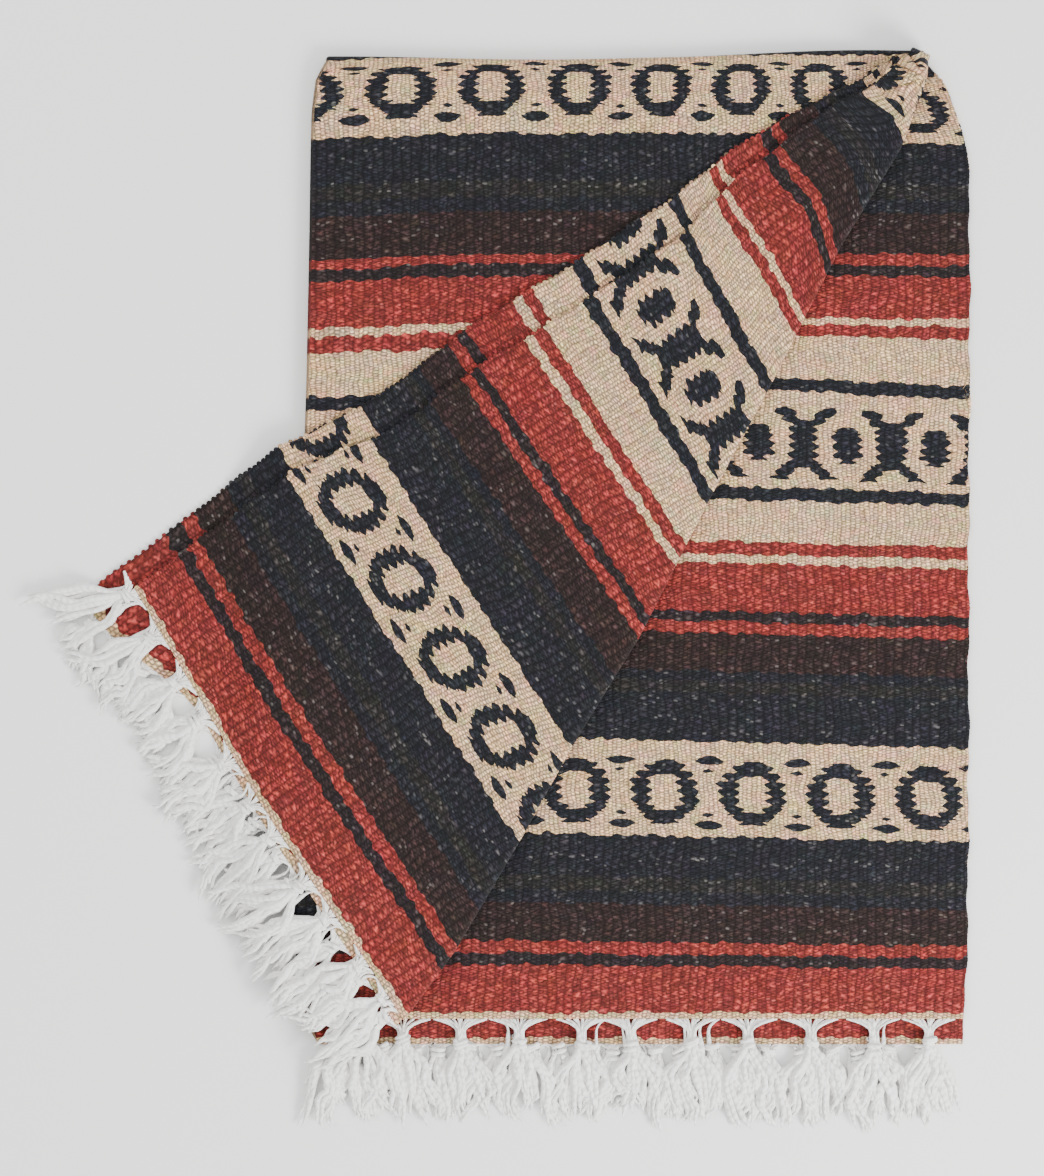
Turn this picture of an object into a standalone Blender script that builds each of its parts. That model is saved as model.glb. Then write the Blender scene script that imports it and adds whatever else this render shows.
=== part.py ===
"""A striped falsa blanket, folded in four and laid flat, with one corner turned back over it.

Lengths below are in millimetres; the mesh is written in metres. +X is the right of the folded
pack, +Y its folded top edge and +Z up. The origin is the middle of the pack on the floor.
The blanket is one cloth. Its four layers lie in two pairs, the lower and the upper leaf, and
the right part of the upper leaf is turned over a slanting fold to the left, as the flap.
Each pair is one solid, layered at its open edges. The warp ends are five rows of fringe.
"""

import math

import bmesh
import bpy
import numpy as np

# One layer of cloth, and the two layers of a leaf
WALL = 3.0
GAP = 0.3
LEAF = 2 * WALL + GAP
UPPER_BASE = LEAF + GAP
UPPER_TOP = UPPER_BASE + LEAF
FLAP_BASE = UPPER_TOP + GAP
FLAP_TOP = FLAP_BASE + LEAF

# Edges of the folded pack
HEM_Y = -468.0
UNDER_HEM_Y = -493.0
TOP_Y = 463.0
ROLL = UPPER_TOP / 2
ROLL_SLOT = 1.0
FOLD_ROLL = (FLAP_TOP - UPPER_BASE) / 2

# How far the upper leaf stays clear of the roll of the slanting fold
FOLD_CLEAR = 9.5

# Ends of the cloth where a wall goes straight down, as a share of a millimetre
SHEER = 0.3

# The flap falls off the pack's left edge over this width
FALL_START = 14.0
FALL_WIDTH = 66.0

# How far the flap's under layer reaches past its upper layer at the hem
HEM_STEP = 20.0

# The cloth gathered at the upper end of the slanting fold
GATHER = {"x": 264.0, "y": 444.0, "height": 9.0, "spread": 30.0}


def table(columns, rows):
    """Returns a table whose columns are called by the names given, separated by spaces."""
    kinds = [(name, float) for name in columns.split()]
    return np.array(rows, dtype=kinds)


# The pack's left and right edges at heights up its plan
PACK = table("y left right", [
    (-493.0, -312.0, 314.0),
    (-468.0, -320.0, 317.0),
    (-380.0, -334.0, 320.0),
    (-200.0, -330.0, 321.0),
    (0.0, -325.0, 321.0),
    (150.0, -320.0, 322.0),
    (300.0, -317.0, 322.0),
    (374.0, -316.0, 320.0),
    (410.0, -315.0, 310.0),
    (440.0, -311.0, 296.0),
    (456.0, -302.0, 282.0),
    (463.0, -290.0, 270.0),
])

# The slanting fold, by the distance of each weft row from the hem
FOLD = table("weft x y", [
    (0.0, -225.0, -469.0),
    (67.0, -176.0, -402.0),
    (176.0, -112.0, -293.0),
    (266.0, -62.0, -203.0),
    (372.0, 3.0, -97.0),
    (504.0, 70.0, 35.0),
    (616.0, 130.0, 147.0),
    (747.0, 196.0, 278.0),
    (843.0, 255.0, 374.0),
    (880.0, 269.0, 412.0),
    (912.0, 281.0, 444.0),
    (930.0, 284.0, 456.0),
])

# The flap's selvedge: its upper layer, and how far the under layer reaches past it
SELVEDGE = table("weft x y step", [
    (0.0, -478.0, -44.0, 22.0),
    (90.0, -404.0, 10.0, 26.0),
    (181.0, -332.0, 62.0, 27.0),
    (292.0, -232.0, 104.0, 34.0),
    (399.0, -146.0, 168.0, 36.0),
    (505.0, -47.0, 228.0, 37.0),
    (610.0, 46.0, 292.0, 34.0),
    (683.0, 96.0, 346.0, 24.0),
    (738.0, 143.0, 382.0, 18.0),
    (800.0, 191.0, 415.0, 12.0),
    (850.0, 229.0, 436.0, 9.0),
    (912.0, 254.0, 459.0, 5.0),
    (930.0, 260.0, 466.0, 2.0),
])

# One bundle of fringe: how far along a lock, how it spreads, and its width and height
LOCK = table("along spread width height", [
    (0.0, 1.0, 3.0, 2.5),
    (0.17, 0.46, 1.5, 2.6),
    (0.42, 1.3, 4.7, 2.4),
    (0.75, 2.0, 6.2, 2.0),
    (1.0, 2.25, 1.6, 0.6),
])
LOCK_SPACING = 4.2
LOCKS_IN_BUNDLE = 6
BUNDLE_PITCH = 58.0
LOCK_SWAY = 3.4
STRIP_WIDTH = 3.0
STRIP_HEIGHT = 2.5
STRIP_GAP = 0.9

# How far the lowest locks stay off the floor
FLOOR_GAP = 0.35


def column(rows, key, values, name):
    """Reads one column of a table between its rows."""
    return np.interp(values, rows[key], rows[name])


def extended(rows, key, values, name):
    """Reads one column as above, carried on straight before the first row."""
    first, second = rows[0], rows[1]
    slope = (second[name] - first[name]) / (second[key] - first[key])
    inside = column(rows, key, values, name)
    return np.where(values < first[key], first[name] + slope * (values - first[key]), inside)


def fold_x(y):
    """Where the slanting fold crosses the height y of the plan."""
    return np.interp(y, FOLD["y"], FOLD["x"])


def rest_height(x, y):
    """Height of what the flap lies on: the pack, then a soft fall to the floor on its left."""
    edge = column(PACK, "y", y, "left") - FALL_START
    share = np.clip((x - edge + FALL_WIDTH) / FALL_WIDTH, 0.0, 1.0)
    return FLAP_BASE * share * share * (3.0 - 2.0 * share)


def laid_height(x, y):
    """Height of the flap's rest, or of a straight cut across its hollow where that is higher."""
    across = (rest_height(x + 16.0, y) + rest_height(x - 16.0, y)) / 2
    along = (rest_height(x, y + 16.0) + rest_height(x, y - 16.0)) / 2
    return np.maximum(rest_height(x, y), np.maximum(across, along))


def flap_point(weft, across):
    """Plan of a point of the flap: across is 0 at the slanting fold and 1 at the selvedge."""
    fx = extended(FOLD, "weft", weft, "x")
    fy = extended(FOLD, "weft", weft, "y")
    sx = extended(SELVEDGE, "weft", weft, "x")
    sy = extended(SELVEDGE, "weft", weft, "y")
    return fx + (sx - fx) * across, fy + (sy - fy) * across


def material(name, colour, roughness=0.9):
    """A Principled material of one colour, kept by node."""
    made = bpy.data.materials.new(name)
    made.use_nodes = True
    shader = made.node_tree.nodes["Principled BSDF"]
    shader.inputs["Base Color"].default_value = (*colour, 1.0)
    shader.inputs["Roughness"].default_value = roughness
    return made


def add_node(name, points, faces, colour):
    """Makes one object from points in millimetres, with its faces turned outwards."""
    mesh = bpy.data.meshes.new(name)
    mesh.from_pydata((np.asarray(points) * 0.001).tolist(), [], faces)
    work = bmesh.new()
    work.from_mesh(mesh)
    bmesh.ops.triangulate(work, faces=work.faces[:])
    bmesh.ops.recalc_face_normals(work, faces=work.faces[:])
    work.to_mesh(mesh)
    work.free()
    mesh.materials.append(material(name + "_cloth", colour))
    made = bpy.data.objects.new(name, mesh)
    bpy.context.scene.collection.objects.link(made)


def rim_bulge(side, thickness):
    """How far an edge stands out at three heights: a fold is round, an open edge is grooved."""
    if side == "fold":
        return 0.72 * thickness / 2, thickness / 2, 0.72 * thickness / 2
    if side == "layers" and thickness > WALL + 1.0:
        return 0.3, -1.6, 0.3
    return 0.3, 0.45, 0.3


def leaf_solid(name, top, bottom, sides, colour):
    """Closes two grids of points, over each other, with a rim of three loops between them.

    Both grids are rows by columns of points. The sides name the edges at the first row, the
    last column, the last row and the first column.
    """
    rows, cols = top.shape[:2]
    index = np.arange(rows * cols).reshape(rows, cols)
    edges = [index[0, :-1], index[:-1, -1], index[-1, :0:-1], index[:0:-1, 0]]
    loop = np.concatenate(edges)
    count = len(loop)
    own_side = np.concatenate([[s] * len(e) for s, e in zip(sides, edges)])
    flat_top = top.reshape(-1, 3)
    flat_bottom = bottom.reshape(-1, 3)
    upper, lower = flat_top[loop], flat_bottom[loop]
    ahead = np.roll(upper, -1, axis=0) - upper
    before = upper - np.roll(upper, 1, axis=0)
    normals = []
    for one, two in zip(before[:, :2], ahead[:, :2]):
        one = one / np.hypot(*one)
        two = two / np.hypot(*two)
        mean = (one + two) / np.hypot(*(one + two))
        normals.append((mean[1], -mean[0]))
    normals = np.array(normals)
    area = np.sum(upper[:, 0] * np.roll(upper[:, 1], -1) - upper[:, 1] * np.roll(upper[:, 0], -1))
    if area < 0:
        normals = -normals
    rims = []
    for step, share in enumerate((0.84, 0.5, 0.16)):
        ring = lower + (upper - lower) * share
        for k in range(count):
            thickness = upper[k, 2] - lower[k, 2]
            out = rim_bulge(own_side[k], thickness)[step]
            if own_side[k] != own_side[k - 1]:
                out = min(out, rim_bulge(own_side[k - 1], thickness)[step])
            ring[k, :2] += normals[k] * out
        rims.append(ring)
    points = np.concatenate([flat_top, flat_bottom, *rims])
    base = rows * cols
    faces = []
    for i in range(rows - 1):
        for j in range(cols - 1):
            quad = [index[i, j], index[i, j + 1], index[i + 1, j + 1], index[i + 1, j]]
            faces.append([int(q) for q in quad])
            faces.append([int(q) + base for q in reversed(quad)])
    levels = [loop] + [2 * base + count * n + np.arange(count) for n in range(3)] + [loop + base]
    for above, below in zip(levels, levels[1:]):
        for k in range(count):
            after = (k + 1) % count
            faces.append([int(v) for v in (above[k], below[k], below[after], above[after])])
    add_node(name, points, faces, colour)


def grid(x, y, z):
    """Stacks three arrays of one shape as a grid of points."""
    return np.stack(np.broadcast_arrays(x, y, z), axis=-1).astype(float)


def lower_leaf():
    """The two lower layers: folded at the left, with both selvedges at the right.

    The bottom layer shows past the upper one's hem by the difference of the two hems.
    """
    top_y = TOP_Y - ROLL - ROLL_SLOT
    y = np.concatenate([
        [UNDER_HEM_Y, HEM_Y - SHEER],
        np.linspace(HEM_Y, 374.0, 8),
        [400.0, 425.0, 444.0, top_y],
    ])[:, None]
    share = np.array([0.0, 0.012, 0.2, 0.4, 0.6, 0.8, 0.988, 1.0])[None, :]
    left = column(PACK, "y", y, "left") + LEAF / 2
    right = column(PACK, "y", y, "right")
    x = left + (right - left) * share
    height = np.where(y < HEM_Y - SHEER / 2, WALL, LEAF)
    rounding = np.where((share < 0.001) | (share > 0.999), 0.4, 0.0)
    top = grid(x, y, height - rounding)
    bottom = grid(x, y, 0.0)
    leaf_solid("lower_leaf", top, bottom, ("plain", "layers", "plain", "fold"), RED)


def upper_leaf():
    """The two upper layers left of the slanting fold, rolled down to the floor at the top."""
    inner_y = TOP_Y - ROLL
    y = np.concatenate([
        np.linspace(HEM_Y, 374.0, 9),
        [410.0, 440.0, inner_y - SHEER / 2, inner_y + SHEER / 2, TOP_Y - 0.45 * ROLL],
    ])[:, None]
    share = np.array([0.0, 0.015, 0.25, 0.5, 0.75, 1.0])[None, :]
    left = column(PACK, "y", y, "left") + LEAF / 2
    right = fold_x(y) - FOLD_CLEAR
    x = left + (right - left) * share
    rolled = y > inner_y
    rounding = np.where((share < 0.001) & ~rolled, 0.5, 0.0) + np.where(y > inner_y + 1, 0.8, 0.0)
    top = grid(x, y, UPPER_TOP - rounding)
    bottom = grid(x, y, np.where(rolled, np.where(y > inner_y + 1, 0.8, 0.0), UPPER_BASE))
    leaf_solid("upper_leaf", top, bottom, ("layers", "plain", "roll", "fold"), CHARCOAL)


def flap():
    """The turned-back part: its round fold slants up the pack, its free corner falls off it.

    Along the first column the roll reaches down to the lower leaf. Past the selvedge and the
    hem of the upper layer, only the under layer goes on.
    """
    weft = np.concatenate([
        [-HEM_STEP, -SHEER],
        [0.0],
        np.linspace(22.0, 242.0, 11),
        np.linspace(300.0, 843.0, 8),
        [880.0, 912.0, 930.0],
    ])[:, None]
    share = np.array([0.2, 0.4, 0.5, 0.58, 0.66, 0.74, 0.82, 0.91])[None, :]
    x0, y0 = flap_point(weft, 0.0)
    x1, y1 = flap_point(weft, 1.0)
    width = np.hypot(x1 - x0, y1 - y0)
    step = extended(SELVEDGE, "weft", weft, "step")
    roll = FOLD_ROLL / width
    across = np.concatenate([
        roll * 0.5,
        roll * 1.0,
        roll * 1.0 + SHEER / width,
        np.broadcast_to(share, (len(weft), share.shape[1])) * (1 - 2 * roll) + 2 * roll,
        1.0 - SHEER / width,
        np.ones_like(width),
        1.0 + step / width,
    ], axis=1)
    x, y = flap_point(weft, across)
    rest = rest_height(x, y)
    in_roll = np.arange(across.shape[1])[None, :] < 2
    single = (across > 1.0 - 0.5 * SHEER / width) | (weft < -SHEER / 2)
    gather = np.hypot(x - GATHER["x"], y - GATHER["y"]) / GATHER["spread"]
    height = rest + np.where(single, WALL, LEAF) + GATHER["height"] * np.exp(-gather * gather)
    low = np.where(in_roll, UPPER_BASE * rest / FLAP_BASE, rest)
    height[:, 0] -= 0.9
    low[:, 0] += 0.9
    top = grid(x, y, height)
    bottom = grid(x, y, low)
    leaf_solid("flap", top, bottom, ("plain", "plain", "fold", "fold"), BROWN)


def wave(seed):
    """A number from -1 to 1 that looks free but is the same each time."""
    return math.sin(12.9898 * seed + 4.1)


def fringe(name, start, end, out, reach, rest, thin=1.0):
    """One row of warp ends: bundles of locks growing from a narrow strip along the hem.

    start and end are the strip's ends in plan, out the direction of the locks, reach their
    length, and rest(x, y) the height of what lies under them.
    """
    start, end, out = (np.array(v, float) for v in (start, end, out))
    span = end - start
    length = np.hypot(*span)
    along = span / length
    out = out / np.hypot(*out)
    bundles = max(1, round(length / BUNDLE_PITCH))
    pitch = length / bundles
    points, faces, stations = [], [], []

    def put(plan, height):
        points.append((plan[0], plan[1], height))
        return len(points) - 1

    for b in range(bundles):
        middle = start + along * pitch * (b + 0.5)
        phase = 2.4 * b + 0.7 * reach
        for n in range(LOCKS_IN_BUNDLE):
            offset = (n - (LOCKS_IN_BUNDLE - 1) / 2) * LOCK_SPACING
            extra = 9.0 * wave(b * 7.3 + n * 3.1 + reach)
            rings = []
            for row in LOCK:
                tail = max(0.0, row["along"] - 0.42) / 0.58
                far = STRIP_WIDTH + row["along"] * reach + tail * extra
                sway = LOCK_SWAY * (math.sin(phase + 4.4 * row["along"]) - math.sin(phase))
                centre = middle + out * far + along * (offset * row["spread"] + sway)
                half = along * row["width"] / 2 * thin
                base = rest(*centre)
                rings.append((
                    put(centre - half, base),
                    put(centre + half, base),
                    put(centre, base + row["height"]),
                ))
            back = middle + along * offset
            foot = rest(*(back + out * STRIP_WIDTH / 2))
            stations.append((put(back, foot), put(back, foot + STRIP_HEIGHT), rings[0]))
            for one, two in zip(rings, rings[1:]):
                for k in range(3):
                    m = (k + 1) % 3
                    faces.append((one[k], one[m], two[m], two[k]))
            faces.append(rings[-1])
    for low, high, root in stations:
        faces.append((low, root[0], root[1]))
    for (low, high, root), (low2, high2, root2) in zip(stations, stations[1:]):
        faces.append((low, low2, root2[0], root[1]))
        faces.append((high, root[2], root2[2], high2))
        faces.append((low, high, high2, low2))
        faces.append((root[1], root2[0], root2[2], root[2]))
    low, high, root = stations[0]
    faces.append((low, high, root[2], root[0]))
    low, high, root = stations[-1]
    faces.append((low, root[1], root[2], high))
    add_node(name, points, faces, WHITE)


def all_fringes():
    """The five rows of warp ends that show or lie under what shows."""
    left = -316.0
    right = 312.0

    def over(lift, x, y):
        return laid_height(x, y) + lift

    inset = BUNDLE_PITCH / 2
    fringe("fringe_under", (left + inset, UNDER_HEM_Y - STRIP_GAP),
           (right - inset, UNDER_HEM_Y - STRIP_GAP), (0, -1), 84.0, lambda x, y: FLOOR_GAP)
    fringe("fringe_lower", (left, HEM_Y - STRIP_GAP), (right, HEM_Y - STRIP_GAP),
           (0, -1), 104.0, lambda x, y: WALL + GAP)
    fringe("fringe_upper", (left, HEM_Y - STRIP_GAP), (left + 54.0, HEM_Y - STRIP_GAP),
           (-0.12, -1), 96.0, lambda x, y: LEAF + GAP, thin=0.9)
    for name, weft, reach, lift in (
        ("fringe_flap_under", -HEM_STEP, 88.0, FLOOR_GAP),
        ("fringe_flap", -SHEER, 104.0, WALL + 4 * GAP),
    ):
        inner, outer = ((0.03, 1.03) if weft < -1 else (0.02, 0.99))
        x, y = flap_point(weft, np.array([inner, outer]))
        out = np.array((y[1] - y[0], x[0] - x[1]))
        out = out / np.hypot(*out)
        if out[0] > 0:
            out = -out
        ends = np.stack([x, y], axis=1) + out * STRIP_GAP
        fringe(name, ends[1], ends[0], out, reach, lambda u, v, up=lift: over(up, u, v))


RED = (0.42, 0.05, 0.03)
CHARCOAL = (0.03, 0.035, 0.05)
BROWN = (0.05, 0.035, 0.03)
WHITE = (0.8, 0.78, 0.74)

for old in list(bpy.data.objects):
    bpy.data.objects.remove(old, do_unlink=True)
lower_leaf()
upper_leaf()
flap()
all_fringes()
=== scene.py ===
"""Looks of a striped falsa blanket, folded in four and laid flat with one corner turned back.

Every sheet is a surface of two parameters: one across the cloth and one along it from the hem.
Lengths below are in millimetres unless a line says otherwise, and meshes are written in metres.
"""

import bpy
import numpy as np
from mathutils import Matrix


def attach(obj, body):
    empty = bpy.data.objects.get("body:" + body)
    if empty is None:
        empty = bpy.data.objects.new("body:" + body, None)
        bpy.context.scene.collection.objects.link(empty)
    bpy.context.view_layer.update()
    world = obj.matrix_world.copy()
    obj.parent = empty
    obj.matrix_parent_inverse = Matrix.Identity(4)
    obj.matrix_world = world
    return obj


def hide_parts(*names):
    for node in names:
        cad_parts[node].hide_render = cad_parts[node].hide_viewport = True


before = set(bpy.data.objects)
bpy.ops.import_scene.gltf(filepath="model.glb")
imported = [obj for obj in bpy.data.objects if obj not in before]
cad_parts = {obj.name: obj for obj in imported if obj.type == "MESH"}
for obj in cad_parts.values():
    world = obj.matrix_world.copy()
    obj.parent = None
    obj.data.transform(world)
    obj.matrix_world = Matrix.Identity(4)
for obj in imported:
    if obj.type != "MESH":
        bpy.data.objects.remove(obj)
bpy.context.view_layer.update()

# Sizes shared with the part's solids
WALL = 3.0
GAP = 0.3
LEAF = 2 * WALL + GAP
UPPER_BASE = LEAF + GAP
UPPER_TOP = UPPER_BASE + LEAF
FLAP_BASE = UPPER_TOP + GAP
HEM_Y = -468.0
UNDER_HEM_Y = -493.0
TOP_Y = 463.0
ROLL = UPPER_TOP / 2
FOLD_ROLL = (FLAP_BASE + LEAF - UPPER_BASE) / 2
ROLL_MIDDLE = FLAP_BASE - GAP / 2
FALL_START = 14.0
FALL_WIDTH = 66.0
GATHER_X = 258.0
GATHER_Y = 450.0
GATHER_HEIGHT = 12.0
GATHER_SPREAD = 30.0

# Over a leaf's own base: the middles of its upper and lower layer and of the gap between them,
# and the radius of the fold that joins the two layers
UPPER_LAYER = WALL * 1.5 + GAP
LOWER_LAYER = WALL / 2
LEAF_MIDDLE = WALL + GAP / 2
LAYER_TURN = (WALL + GAP) / 2

# The woven cloth: how thick one layer looks, its warp spacing, and how far apart the floats of
# the weft lie along one warp, which is two picks
CLOTH = 2.7
WARP_PITCH = 8.3
FLOAT_PITCH = 5.5

# A bundle of the fringe: its yarns, in locks of five, how thick they are, and the share of its
# length at which each ring of a yarn lies
YARNS = 20
LOCKS = 4
LOCK_OF_YARN = np.arange(YARNS) // (YARNS // LOCKS)
YARN_RADIUS = 3.4
YARN_RING = np.linspace(0.0, 1.0, 21) ** 1.4

# The flap's lower layer shows past the upper one, and its free corner is pulled out further.
# Both hems are let out a little, over the rows near them
UNDER_STEP = 8.0
CORNER_PULL = 47.0
PULLED_ROWS = 80.0
HEM_EASE = 11.0
EASED_ROWS = 150.0

# Towards the gathered corner the flap's rows draw in from one row to the last, and the last
# ones turn down by this much in this direction
DRAW_IN_FROM = 893.0
LAST_ROW = 930.0
TURN_DOWN = 7.0
TURN_DOWN_WAY = (0.42, 0.906)

# The weave map: where it starts at the lower leaf's selvedge, how much cloth lies in a
# millimetre of the lower leaf and of the flap, and what keeps the hidden layers' part apart
RIGHT_START = 47.0
LEAF_TAKE_UP = 0.971
FLAP_TAKE_UP = 0.922
BOTTOM_START = 620.0
LINING_START = 2100.0


def table(columns, rows):
    """Returns a table whose columns are called by the names given, separated by spaces."""
    return np.array(rows, dtype=[(name, float) for name in columns.split()])


PACK = table("y left right", [
    (-493, -312, 314), (-468, -320, 317), (-380, -334, 320),
    (-200, -330, 321), (0, -325, 321), (150, -320, 322),
    (300, -317, 322), (374, -316, 320), (410, -315, 310),
    (440, -311, 296), (456, -302, 282), (463, -290, 270),
])
FOLD = table("weft x y", [
    (0, -225, -469), (67, -176, -402), (176, -112, -293),
    (266, -62, -203), (372, 3, -97), (504, 70, 35),
    (616, 130, 147), (747, 196, 278), (843, 255, 374),
    (880, 269, 412), (912, 281, 444), (930, 284, 456),
])
SELVEDGE = table("weft x y step", [
    (0, -478, -44, 22), (90, -404, 10, 26), (181, -332, 62, 27),
    (292, -232, 104, 34), (399, -146, 168, 36), (505, -47, 228, 37),
    (610, 46, 292, 34), (683, 96, 346, 24), (738, 143, 382, 18),
    (800, 191, 415, 12), (850, 229, 436, 9), (912, 254, 459, 5),
    (930, 260, 466, 2),
])

# Which weft row lies where: on the upper leaf, stretched a little in folding, and on the
# flap's lower layer, whose stripes are pulled out at the hem and lie further in past it
UPPER_ROWS = table("place weft", [
    (-468, 0), (127, 603.5), (184, 662.7),
    (200, 672.9), (211, 683.6), (254, 722.4),
    (264, 730.2), (276, 746.7), (389, 849.6),
    (410, 866.5), (423, 880), (451, 913.8),
    (457, 927), (463, 938.6), (472, 952),
    (486, 970),
])
UNDER_ROWS = table("place weft", [
    (-8, 0), (60, 50.5), (182, 172.8),
    (939, 930),
])

# How far the stripes of the lower leaf slant down to the right, per millimetre
SLANT = table("weft slope", [
    (0, 0), (100, 0.018), (264, 0.027),
    (452, 0.024), (505, 0.033), (610, 0.048),
    (700, 0.01), (940, 0),
])

# Soft troughs and ridges pressed by hand into the cloth: middle, direction, half sizes, height
DENTS = table("x y turn long wide high", [
    (180, -60, 78, 150, 26, -1.3), (250, 160, 86, 120, 22, 1),
    (60, -330, 10, 170, 30, 1.1), (210, -390, -6, 120, 18, -1.2),
    (265, -250, 84, 110, 20, -1), (130, -200, 60, 90, 24, 0.9),
    (-200, 330, 4, 150, 26, 1.2), (-120, 260, 30, 130, 20, -1.2),
    (-270, 230, 82, 90, 16, 1.1), (30, 400, -4, 140, 18, -0.9),
    (-230, -60, -58, 150, 26, 1.8), (-300, -150, -60, 130, 22, -1.5),
    (-120, 40, 34, 160, 24, 1.5), (-190, -260, -56, 120, 18, -1.4),
    (40, 170, 36, 130, 18, -1.3), (60, 60, -60, 100, 20, 1.2),
    (-400, -40, 40, 80, 18, 1.6), (170, 340, 50, 70, 14, 1.8),
])


def column(rows, key, values, name):
    """Reads one column of a table, straight between its rows and carried on before the first."""
    first, second = rows[0], rows[1]
    slope = (second[name] - first[name]) / (second[key] - first[key])
    inside = np.interp(values, rows[key], rows[name])
    return np.where(values < first[key], first[name] + slope * (values - first[key]), inside)


def smooth(values):
    """A step from 0 to 1 that starts and ends level."""
    share = np.clip(values, 0.0, 1.0)
    return share * share * (3.0 - 2.0 * share)


def fold_x(y):
    """Where the slanting fold crosses the height y of the plan."""
    return np.interp(y, FOLD["y"], FOLD["x"])


def right_edge(y):
    """Right selvedge of the lower leaf, waved a little by its weft turns."""
    return column(PACK, "y", y, "right") + 0.9 * np.sin(y / 17.0) + 0.6 * np.sin(y / 6.1)


def rest_height(x, y):
    """Height of what the flap lies on: the pack, then a soft fall to the floor on its left."""
    edge = np.interp(y, PACK["y"], PACK["left"]) - FALL_START
    return FLAP_BASE * smooth((x - edge + FALL_WIDTH) / FALL_WIDTH)


def flap_point(weft, across):
    """Plan of a point of the flap: across is 0 at the slanting fold and 1 at the selvedge."""
    fx = column(FOLD, "weft", weft, "x")
    fy = column(FOLD, "weft", weft, "y")
    sx = column(SELVEDGE, "weft", weft, "x")
    sy = column(SELVEDGE, "weft", weft, "y")
    return fx + (sx - fx) * across, fy + (sy - fy) * across


def flap_width(weft):
    """Distance from the slanting fold to the selvedge along one weft row."""
    x0, y0 = flap_point(weft, 0.0)
    x1, y1 = flap_point(weft, 1.0)
    return np.hypot(x1 - x0, y1 - y0)


def pulled(weft, across):
    """Rows near the lower layer's hem, stretched so that it is pulled out at the free corner."""
    share = (PULLED_ROWS + CORNER_PULL) / (PULLED_ROWS + UNDER_STEP) - 1.0
    stretch = 1.0 + share * smooth((across - 0.72) / 0.3)
    return np.where(weft < PULLED_ROWS, PULLED_ROWS - (PULLED_ROWS - weft) * stretch, weft)


def laid_point(weft, across, is_under):
    """Plan of a point of one layer of the flap, let out towards the hem.

    How far a row is let out falls off with its distance from the hem, and towards the fold.
    """
    row = pulled(weft, across) if is_under else weft + 0.0 * across
    let_out = HEM_EASE * smooth(across / 0.6) * (1.0 - smooth(weft / EASED_ROWS))
    return flap_point(row - let_out, across)


def flap_reach(weft, level, is_under):
    """Distance from the slanting fold to one layer's own edge, waved by its weft turns."""
    step = column(SELVEDGE, "weft", weft, "step") * is_under
    return flap_width(weft) + step + 0.8 * np.sin(weft / 9.0) + 0.7 * np.sin(weft / 23.0 + level)


def woven_row(weft, is_under):
    """Row of the weave that lies at a place of one layer of the flap."""
    return column(UNDER_ROWS, "place", weft, "weft") if is_under else weft


def dents(x, y):
    """Sum of soft bumps: each falls off as a bell, long one way and narrow the other."""
    total = np.zeros(np.broadcast(x, y).shape)
    for row in DENTS:
        turn = np.radians(row["turn"])
        along = (x - row["x"]) * np.cos(turn) + (y - row["y"]) * np.sin(turn)
        side = (y - row["y"]) * np.cos(turn) - (x - row["x"]) * np.sin(turn)
        total += row["high"] * np.exp(-(along / row["long"]) ** 2 - (side / row["wide"]) ** 2)
    return total


def gathered(x, y):
    """Height of the cloth bunched at the corner: a bell, cut by pleats that fan out of it."""
    far = np.hypot(x - GATHER_X, y - GATHER_Y) / GATHER_SPREAD
    angle = np.arctan2(y - GATHER_Y + 10.0, x - GATHER_X - 18.0)
    pleats = np.abs(np.sin(4.5 * angle + 0.9 * np.sin(2.3 * angle) + 0.4)) ** 0.55
    return GATHER_HEIGHT * np.exp(-far * far) * (0.45 + 0.85 * pleats)


def flap_drift(weft, across):
    """How far the flap's stripes drift from straight rows: a bow, and a pull at the selvedge."""
    bow = smooth((weft - 660.0) / 70.0) * (1.0 - smooth((weft - 800.0) / 80.0))
    pull = np.interp(weft, (600.0, 668.0, 800.0, 860.0), (0.0, 10.0, 10.0, 20.0))
    along = np.clip(across, 0.0, 1.0)
    return pull * smooth((along - 0.35) / 0.6) - 8.0 * bow * np.sin(np.pi * along)


def mesh_object(name, points, faces, uv=None, smoothed=True):
    """Makes one piece from points in millimetres; uv holds one pair for each point."""
    mesh = bpy.data.meshes.new(name)
    mesh.from_pydata((points * 0.001).tolist(), [], faces.tolist())
    if uv is not None:
        layer = mesh.uv_layers.new(name="weave")
        corners = np.empty(len(mesh.loops), np.int32)
        mesh.loops.foreach_get("vertex_index", corners)
        pairs = uv[corners] * 0.001
        layer.uv.foreach_set("vector", pairs.astype(np.float32).ravel())
    mesh.polygons.foreach_set("use_smooth", [smoothed] * len(mesh.polygons))
    mesh.update()
    made = bpy.data.objects.new(name, mesh)
    bpy.context.scene.collection.objects.link(made)
    return made


def ridden(made, material):
    """Fixes a piece to the part and gives it the material."""
    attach(made, "root")
    made.data.materials.append(material)
    return made


def grid_faces(rows, cols):
    """Corner numbers of the quads of a grid of points, row by row."""
    index = np.arange(rows * cols).reshape(rows, cols)
    quads = (index[:-1, :-1], index[:-1, 1:], index[1:, 1:], index[1:, :-1])
    return np.stack(quads, axis=-1).reshape(-1, 4)


def edge_rounding(count):
    """Share of the full thickness at each of count lines: half round over the outer four."""
    place = np.arange(count)
    near = np.clip(np.minimum(place, count - 1 - place) / 4, 0.0, 1.0)
    return np.sqrt(np.clip(1.0 - (1.0 - near) ** 2, 0.03, 1.0))


def edge_lines(start, end, pitch, reach):
    """Places from start to end about pitch apart, with close ones in the reach of both ends."""
    count = max(2, int(round((end - start - 2 * reach) / pitch)) + 1)
    close = reach * np.array([0.0, 0.08, 0.3, 0.65])
    inner = np.linspace(start + reach, end - reach, count)
    return np.concatenate([start + close, inner, end - close[::-1]])


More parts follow.
